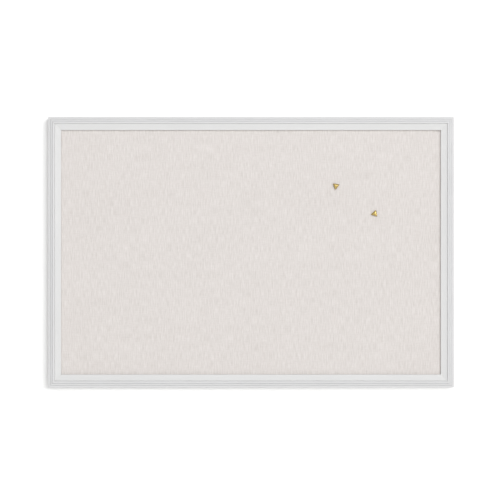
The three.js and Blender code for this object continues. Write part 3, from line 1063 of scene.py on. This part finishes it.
def cutPinHoles(mesh, pinSpots, middleY):
    size = linenWrap
    shape = bmesh.new()
    shape.from_mesh(mesh)
    bmesh.ops.recalc_face_normals(shape, faces=shape.faces)
    for px, pz in pinSpots:

        def nearPin(place, reach):
            return abs(place.x / mm - px) < reach[0] and abs(place.z / mm - pz) < reach[1]

        patch = [face for face in shape.faces
                 if face.normal.y < -0.5 and nearPin(face.calc_center_median(), size["holePatch"])]
        depth = max(v.co.y for face in patch for v in face.verts) + size["holeDepth"] * mm
        bmesh.ops.delete(shape, geom=patch, context="FACES")
        rim = [edge for edge in shape.edges if edge.is_boundary
               and all(nearPin(v.co, size["holeRim"]) and v.co.y < middleY * mm for v in edge.verts)]
        ring = [shape.verts.new(((px + x) * mm, depth, (pz + z) * mm))
                for x, z in circle(size["holeRadius"], size["holeSides"])]
        edges = [shape.edges.new((v, ring[(k + 1) % len(ring)])) for k, v in enumerate(ring)]
        bmesh.ops.bridge_loops(shape, edges=rim + edges)
    loose = [v for v in shape.verts if not v.link_faces]
    bmesh.ops.delete(shape, geom=loose, context="VERTS")
    bmesh.ops.recalc_face_normals(shape, faces=shape.faces)
    shape.to_mesh(mesh)
    shape.free()


# Flat boards behind the linen

boards = {
    "pin_panel": {"edgeRound": 0.9, "cornerRound": 1.5, "raggedness": 0.18, "spacing": 6.0},
    "backing_board": {"edgeRound": 0.25, "cornerRound": 1.2, "raggedness": 0.05, "spacing": 8.0},
}
pinHoleDepth = 6.8
raggedSeed = 11


def boardOutline(halfX, halfZ, cornerRound, spacing):
    # round each corner and along to the next
    points = []
    for cx, cz, start, alongX, alongZ in ((1, 1, 0, -1, 0), (-1, 1, 90, 0, -1), (-1, -1, 180, 1, 0),
                                          (1, -1, 270, 0, 1)):
        points += arc(cx * (halfX - cornerRound), cz * (halfZ - cornerRound), cornerRound, start,
                      start + 90, 4)
        run = 2 * ((halfX if alongX else halfZ) - cornerRound)
        steps = int(run / spacing)
        fromX, fromZ = points[-1]
        for k in range(1, steps):
            points.append((fromX + alongX * run * k / steps, fromZ + alongZ * run * k / steps))
    return points


def makeBoard(name, material, pinSpots):
    size = boards[name]
    halfX, halfZ = halfSize(name)
    front, back = [corner.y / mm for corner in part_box(name)]
    soft = size["edgeRound"]
    outline = boardOutline(halfX, halfZ, size["cornerRound"], size["spacing"])
    wobble = np.random.default_rng(raggedSeed).uniform(0, size["raggedness"], len(outline))
    cut = soft * cornerIn
    loops = []
    for inset, y in ((soft, front), (cut, front + cut), (0, front + soft), (0, (front + back) / 2),
                     (0, back - soft), (cut, back - cut), (soft, back)):
        loops.append([(x * (1 - (inset + d) / halfX), y, z * (1 - (inset + d) / halfZ))
                      for (x, z), d in zip(outline, wobble)])
    board = skin(name, loops)
    hole = circle(linenWrap["holeRadius"], linenWrap["holeSides"])
    bores = [prism(hole, x, z, (front - 1, front + pinHoleDepth)) for x, z in pinSpots]
    if bores:
        carve(board, bores)
    placePiece(board, "board", [name], [material])


# Push pins: a bevelled brass triangle on a stem, with a steel needle set into it

pushPin = {
    "side": 13.0,
    "cornerRound": 0.7,
    "edgeThickness": 1.4,
    "bevelHeight": 1.3,
    "bevelWidth": 1.4,
    "softEdge": 0.12,
    # facets soften each edge: how far in and how far toward the wall, as shares of softEdge
    "facets": {
        "back": ((2.4, 0), (1, -0.3), (0.3, -1), (0, -2.4)),
        "rim": ((0, 2), (0.2, 0.5), (1, -0.8)),
        "face": ((-1, 1.2), (0, 0.3), (1.5, 0)),
    },
    "leastCorner": 0.2,  # the corners tighten toward the face
    "tightening": 0.35,
    "crown": 0.12,
    "crownRows": (0.7, 0.4, 0.15),
    "stemRadius": 2.0,
    "stemLength": 1.4,
    "gap": 0.3,
    "footSeat": 0.02,
    # how much wider the stem is, and how far from its foot or from the head
    "stemFoot": ((0.35, 0.0), (0.35, 0.25), (0.08, 0.45), (0.0, 0.7)),
    "stemSolder": ((0.0, 0.35), (0.1, 0.12), (0.35, -0.3)),
    "needleRadius": 0.55,
    "needleClearance": 0.02,
    "needleInHead": 2.85,
    "needleInBoard": 7.0,
    "needlePoint": 3.0,
    "needleTaper": 1.3,
    "needleTipRadius": 0.01,
    "needleTopRound": (0.1, 0.15),
}


def triangleLoop(rimRadius, cornerRound, y):
    # one corner points up
    centre = rimRadius - 2 * cornerRound
    outline = []
    for corner in (90, -30, -150):
        a = math.radians(corner)
        outline += arc(centre * math.cos(a), centre * math.sin(a), cornerRound, corner + 60,
                       corner - 60, 6)
    return [(x, y, z) for x, z in outline]


def makePinHead(name, body, matrix):
    size = pushPin
    rim = size["side"] / math.sqrt(3)
    soft, bevel = size["softEdge"], size["bevelWidth"]
    back = -(size["gap"] + size["stemLength"])
    edge = back - size["edgeThickness"]
    face = edge - size["bevelHeight"]
    loops = []
    for where, start, y in (("back", 0, back), ("rim", 0, edge), ("face", bevel, face)):
        for inward, up in size["facets"][where]:
            inset = start + soft * inward
            corner = max(size["cornerRound"] - inset * size["tightening"], size["leastCorner"])
            loops.append(triangleLoop(rim - 2 * inset, corner, y + soft * up))
    faceRim = rim - 2 * inset  # inside the last facet
    for share in size["crownRows"]:
        crownY = face - size["crown"] * (1 - share ** 2)
        loops.append(triangleLoop(faceRim * share, size["leastCorner"] * share, crownY))
    head = skin(name, loops)
    radius, foot = size["stemRadius"], -size["footSeat"]
    profile = [(radius + wider, foot - away) for wider, away in size["stemFoot"]]
    profile += [(radius + wider, back + away) for wider, away in size["stemSolder"]]
    carve(head, [turned("stem", profile, 40)], "UNION")
    boreRadius = size["needleRadius"] + size["needleClearance"]
    bore = turned("bore", [(boreRadius, 1.0), (boreRadius, -size["needleInHead"] - 0.05)], 24)
    carve(head, [bore])
    placePiece(head, body, [name], [brass], matrix)


def makeNeedle(name, body, matrix):
    size = pushPin
    radius, tip, top = size["needleRadius"], size["needleInBoard"], -size["needleInHead"]
    point, least = size["needlePoint"], size["needleTipRadius"]
    across, down = size["needleTopRound"]
    profile = [(0.0, top), (radius - across, top), (radius, top + down), (radius, tip - point)]
    for k in range(1, 7):
        share = k / 6
        profile.append((radius * (1 - share ** size["needleTaper"]) + least, tip - point * (1 - share)))
    placePiece(turned(name, profile, 24), body, [name], [needleSteel], matrix)


def pinMatrix(which):
    # from the needle's place and the head's tip, as packed
    middle = middleOf(f"pin_needle_{which}")
    origin = Vector((middle.x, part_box("linen_cover")[0].y, middle.z))
    head = frame["nodes"][f"pin_head_{which}"]
    corners = [v.co for v in head.data.vertices]
    farthest = max(corners, key=lambda c: math.hypot(c.x - middle.x, c.z - middle.z))
    turn = math.atan2(farthest.x - middle.x, farthest.z - middle.z)
    return Matrix.Translation(origin) @ Matrix.Rotation(turn, 4, "Y")


pinSpots = []
for which in ("upper", "lower"):
    spot = middleOf(f"pin_needle_{which}")
    pinSpots.append((spot.x / mm, spot.z / mm))
makeLinen(pinSpots)
makeBoard("pin_panel", fibreboard, pinSpots)
makeBoard("backing_board", hardboard, [])
for which in ("upper", "lower"):
    makePinHead(f"pin_head_{which}", f"push_pin_{which}", pinMatrix(which))
    makeNeedle(f"pin_needle_{which}", f"push_pin_{which}", pinMatrix(which))
print("linen, boards and pins built")


# Bumpers

bumperShape = {
    "edgeRound": 1.5,
    "footRound": 0.25,
    "dishDepths": (0.02, 0.12, 0.144),  # at its rim, part way in and in the middle
    "dishRim": 0.7,
    "dishShare": 0.4,
    "padThickness": 0.28,  # the adhesive pad fills the seat's gap
}


def makeBumper(name):
    size = bumperShape
    low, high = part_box(name)
    radius, height = halfSize(name)[0], (high.y - low.y) / mm
    foot, corner, soft = -(height + size["padThickness"]), size["footRound"], size["edgeRound"]
    profile = [(0, foot), (radius - corner * 2, foot), (radius - corner, foot + corner * 0.8),
               (radius, foot + corner * 2), *arc(radius - soft, -soft, soft, 0, 90, 8)]
    reaches = (radius - soft - size["dishRim"], radius * size["dishShare"], 0)
    profile += [(reach, -depth) for reach, depth in zip(reaches, size["dishDepths"])]
    middle = middleOf(name)
    matrix = Matrix.Translation((middle.x, high.y, middle.z))
    placePiece(turned(name, profile, 56), "board", [name], [rubber], matrix,
               sharpDegrees=50)


# D-ring hangers. Inside each, z = 0 is the ring's axis and y = 0 the strap's underside.

hanger = {
    "strapThickness": 0.6,
    "strapWidth": 10.0,
    "strapLength": 24.0,
    "endWidth": 0.1,  # half the width at the very end of its round
    "strapEdge": 0.14,
    "lowerLeaf": (-14, -9, -4, -1.5),  # places along each leaf, from the ring
    "upperLeaf": (-6, -10, -14, -17),
    "leafGap": 0.01,  # between the strap's two leaves
    "screwDrop": 14.0,
    "screwHole": 1.8,
    "holeChamfer": 0.3,
    "loopRadius": 1.5,  # of the strap's middle layer, round the ring
    "closingRadius": 1.0,
    "wireRadius": 0.9,
    "wireSides": 20,
    "innerWidth": 13.0,
    "legHeight": 4.0,
    "cornerRadius": 2.2,
    "split": 0.25,
}


def strapStations():
    size = hanger
    thick, half, length = size["strapThickness"], size["strapWidth"] / 2, size["strapLength"]
    loop, closing = size["loopRadius"], size["closingRadius"]
    axisHeight = thick / 2 + loop
    lower, upper = thick / 2, 1.5 * thick
    roundedEnd = [(half - along - length, max(width, size["endWidth"]))
                  for along, width in arc(0, 0, half, 0, 90, 10)]
    stations = [(lower, z, -1, 0, width) for z, width in roundedEnd]
    stations += [(lower, z, -1, 0, half) for z in size["lowerLeaf"]]
    # round the ring
    rise = upper + closing - axisHeight
    away = math.sqrt((loop + closing) ** 2 - rise ** 2)
    turnEnd = 180 - math.degrees(math.asin(rise / (loop + closing)))
    for nz, ny in arc(0, 0, 1, -90, turnEnd, 24):
        stations.append((axisHeight + loop * ny, loop * nz, ny, nz, half))
    # and back on to the lower leaf
    for nz, ny in arc(0, 0, 1, turnEnd - 180, -90, 8)[1:]:
        stations.append((upper + closing + closing * ny, -away + closing * nz, -ny, -nz, half))
    stations += [(upper, z, 1, 0, half) for z in size["upperLeaf"]]
    return stations + [(upper, z, 1, 0, width) for z, width in reversed(roundedEnd)]


def makeStrap(name, matrix):
    size = hanger
    strap = sheetStrip(name, strapStations(), size["strapThickness"] - size["leafGap"], size["strapEdge"])
    radius, wide = size["screwHole"], size["screwHole"] + size["holeChamfer"]
    top, half = size["strapThickness"] * 2, size["holeChamfer"] / 2
    hole = turned("hole", [(radius, -1.0), (radius, top - half), (wide, top + half), (wide, 3.0)], 40)
    hole.matrix_world = Matrix.Translation((0, 0, -size["screwDrop"] * mm))
    bpy.context.view_layer.update()
    carve(strap, [hole])
    placePiece(strap, "board", [name], [zincSteel], matrix, sharpDegrees=40)


def ringPath():
    size = hanger
    half, end = size["innerWidth"] / 2 + size["wireRadius"], size["split"] / 2
    radius, leg = size["cornerRadius"], size["legHeight"]
    # from the split along the straight leg, round the corner and up, over the top and down again
    right = [(end + (half - radius - end) * k / 6, 0) for k in range(6)]
    right += arc(half - radius, radius, radius, -90, 0, 12)
    right += [(half, radius + (leg - radius) * k / 3) for k in (1, 2)]
    left = [(-x, z) for x, z in reversed(right)]
    return right + arc(0, leg, half, 0, 180, 64) + left


def makeRing(name, body, matrix):
    path = ringPath()
    loops = []
    for i, (x, z) in enumerate(path):
        before, after = path[max(i - 1, 0)], path[min(i + 1, len(path) - 1)]
        along = Vector((after[0] - before[0], after[1] - before[1])).normalized()
        wire = circle(hanger["wireRadius"], hanger["wireSides"])
        loops.append([(x + along.y * side, lift, z - along.x * side) for side, lift in wire])
    placePiece(skin(name, loops), body, [name], [zincSteel], matrix)


joints = {joint["name"]: joint for joint in frame["joints"]}
for side in ("left", "right"):
    axis = Vector(joints[f"ring_{side}_swing"]["pos_m"])
    seat = Vector((axis.x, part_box(f"hanger_strap_{side}")[0].y, axis.z))
    makeStrap(f"hanger_strap_{side}", Matrix.Translation(seat))
    makeRing(f"hanger_ring_{side}", f"ring_{side}", Matrix.Translation(axis))
    head = seat + Vector((0, 2 * hanger["strapThickness"], -hanger["screwDrop"])) * mm
    makeScrew(f"hanger_screw_{side}", Matrix.Translation(head))
    for level in ("top", "bottom"):
        makeBumper(f"bumper_{level}_{side}")
print("hangers and bumpers built")


# Stage: a white wall just behind the board, a pale floor below, and soft studio light

stageLook = {
    "wallGap": 1.0,
    "wallColour": "#f4f4f4",
    # painted light: the wall glows, more to the right and above and below the board, which washes out the
    # board's shadow there
    "wallGlow": {"left": 0.16, "right": 0.33, "above": 0.3, "below": 0.27},
    "glowEdges": {"above": 12, "below": 4},  # how far the wall takes to reach its glow
    "wallBehind": 0.5,  # how pale the painted shade leaves the wall in the narrow gap behind the board
    "behindEdge": 3,
    "floorColour": "#ececea",
    "floorGlow": 0.42,
    "glowCast": 0.45,  # the share of that glow that falls on the board
    "floorDrop": 620,
    "reach": 8000,
    "sideLight": 0.42,
    "frontLight": 1.06,
    "frontFocus": 4.0,
    "flagInset": 0.5,  # inside the frame's outline
    "flagGap": 0.05,  # to the frame and to the wall
}


def oneSidedStage(name, colour, glowLook, onlySeen):
    # seen from its front only, so that a view from behind isn't shut off
    look = stageLook
    material = bpy.data.materials.new(name)
    material.use_nodes = True
    material.node_tree.nodes.clear()
    add = partial(addNode, material)
    seen = add("LightPath").outputs["Is Camera Ray"]
    place = add("TexCoord").outputs["Object"]
    axes = add("SeparateXYZ", {0: place})
    half, tall = frameHalfWidth, frameHalfHeight
    # painted shade: the wall is painted darker in the gap behind the board, where no light from the room
    # reaches
    paleness = 0.0
    for axis, edge in (("X", half), ("Z", tall)):
        away = add("Math", {0: axes.outputs[axis]}, operation="ABSOLUTE")
        outside = add("MapRange", {"Value": away, "From Min": edge - look["behindEdge"] * mm,
                                   "From Max": edge, "To Min": look["wallBehind"]})
        paleness = add("Math", {0: paleness, 1: outside}, operation="MAXIMUM")
    shaded = add("VectorMath", {0: linearFromHex(colour)[:3], "Scale": paleness}, operation="SCALE")
    matte = add("BsdfDiffuse", {"Color": shaded})
    # painted light: the glow grows from left to right and is raised above and below the board, so the
    # board's shadow shows only near its left edge and bottom left
    above, below = [look["glowEdges"][level] * mm for level in ("above", "below")]
    glow = 0.0
    for axis, start, end, first, last in (
        ("X", -half, half, glowLook["left"], glowLook["right"]),
        ("Z", tall - above, tall, 0, glowLook["above"]),
        ("Z", -tall, -tall - below, 0, glowLook["below"]),
    ):
        ramp = add("MapRange", {"Value": axes.outputs[axis], "From Min": start, "From Max": end,
                                "To Min": first, "To Max": last})
        glow = add("Math", {0: glow, 1: ramp}, operation="MAXIMUM")
    cast = add("MapRange", {"Value": seen, "To Min": look["glowCast"]})
    strength = add("Math", {0: glow, 1: cast}, operation="MULTIPLY")
    light = add("Emission", {"Color": "#ffffff", "Strength": strength})
    both = add("AddShader", {0: matte, 1: light})
    behind = add("NewGeometry").outputs["Backfacing"]
    shown = add("Math", {0: 1.0, 1: behind}, operation="SUBTRACT")
    if onlySeen:
        shown = add("Math", {0: shown, 1: seen}, operation="MULTIPLY")
    clear = add("BsdfTransparent")
    mix = add("MixShader", {0: shown, 1: clear, 2: both})
    add("OutputMaterial", {"Surface": mix})
    return material


def stagePlane(name, corners, material):
    mesh = bpy.data.meshes.new(name)
    mesh.from_pydata([Vector(c) * mm for c in corners], [], [(0, 1, 2, 3)])
    mesh.materials.append(material)
    plane = newObject(name, mesh)


def addFlag():
    # a black ribbon round the gap behind the board keeps the bare wood's tint off the wall
    black = bpy.data.materials.new("stageFlag")
    black.use_nodes = True
    setInputs(black, black.node_tree.nodes["Principled BSDF"], {"Base Color": "#000000"})
    inset, gap = stageLook["flagInset"], stageLook["flagGap"]
    x, z = frameHalfWidth / mm - inset, frameHalfHeight / mm - inset
    rings = []
    for y in (frameBackY / mm + gap, stageLook["wallGap"] - gap):
        rings.append([(-x, y, -z), (x, y, -z), (x, y, z), (-x, y, z)])
    flag = skin("stage_flag", rings, capped=False)
    flag.data.materials.append(black)
    for ray in ("camera", "shadow", "glossy", "transmission", "volume_scatter"):
        setattr(flag, f"visible_{ray}", False)


def buildRoom():
    # bright before the board and dimmer at its sides and behind it, white where the camera sees it
    look = stageLook
    world = bpy.data.worlds.new("studio")
    world.use_nodes = True
    world.node_tree.nodes.clear()
    bpy.context.scene.world = world
    add = partial(addNode, world)
    seen = add("LightPath").outputs["Is Camera Ray"]
    place = add("TexCoord").outputs["Generated"]
    forward = add("SeparateXYZ", {0: place}).outputs["Y"]
    before = add("MapRange", {"Value": forward, "From Min": 0, "From Max": -1})
    ahead = add("Math", {0: before, 1: look["frontFocus"]}, operation="POWER")
    level = add("MapRange", {"Value": ahead, "To Min": look["sideLight"], "To Max": look["frontLight"]})
    lit = add("Background", {"Color": "#ffffff", "Strength": level})
    white = add("Background", {"Color": "#ffffff", "Strength": 1.0})
    mix = add("MixShader", {0: seen, 1: lit, 2: white})
    add("OutputWorld", {"Surface": mix})
    bpy.context.scene.view_settings.view_transform = "Standard"


def buildStage():
    look = stageLook
    reach, floor, wall = look["reach"], -look["floorDrop"], look["wallGap"]
    wallPaint = oneSidedStage("stageWall", look["wallColour"], look["wallGlow"], True)
    floorGlow = dict.fromkeys(look["wallGlow"], look["floorGlow"])
    floorPaint = oneSidedStage("stageFloor", look["floorColour"], floorGlow, False)
    stagePlane("stage_wall", [(-reach, wall, floor), (reach, wall, floor), (reach, wall, reach),
                              (-reach, wall, reach)], wallPaint)
    stagePlane("stage_floor", [(-reach, -reach, floor), (reach, -reach, floor), (reach, reach, floor),
                               (-reach, reach, floor)], floorPaint)
    addFlag()
    buildRoom()


softboxes = {
    "key": {"place": (3740, -9570, 3200), "size": 4600, "watts": 500},
    "rear": {"place": (-1300, 3400, 1900), "size": 2600, "watts": 62},
}


def addSoftboxes():
    for name, box in softboxes.items():
        data = bpy.data.lights.new(name, "AREA")
        data.shape = "SQUARE"
        data.size = box["size"] * mm
        data.energy = box["watts"]
        lamp = newObject(name, data)
        lamp.location = Vector(box["place"]) * mm
        lamp.rotation_euler = (-lamp.location).to_track_quat("-Z", "Y").to_euler()
        lamp.visible_camera = False


buildStage()
addSoftboxes()
print("stage and light set")
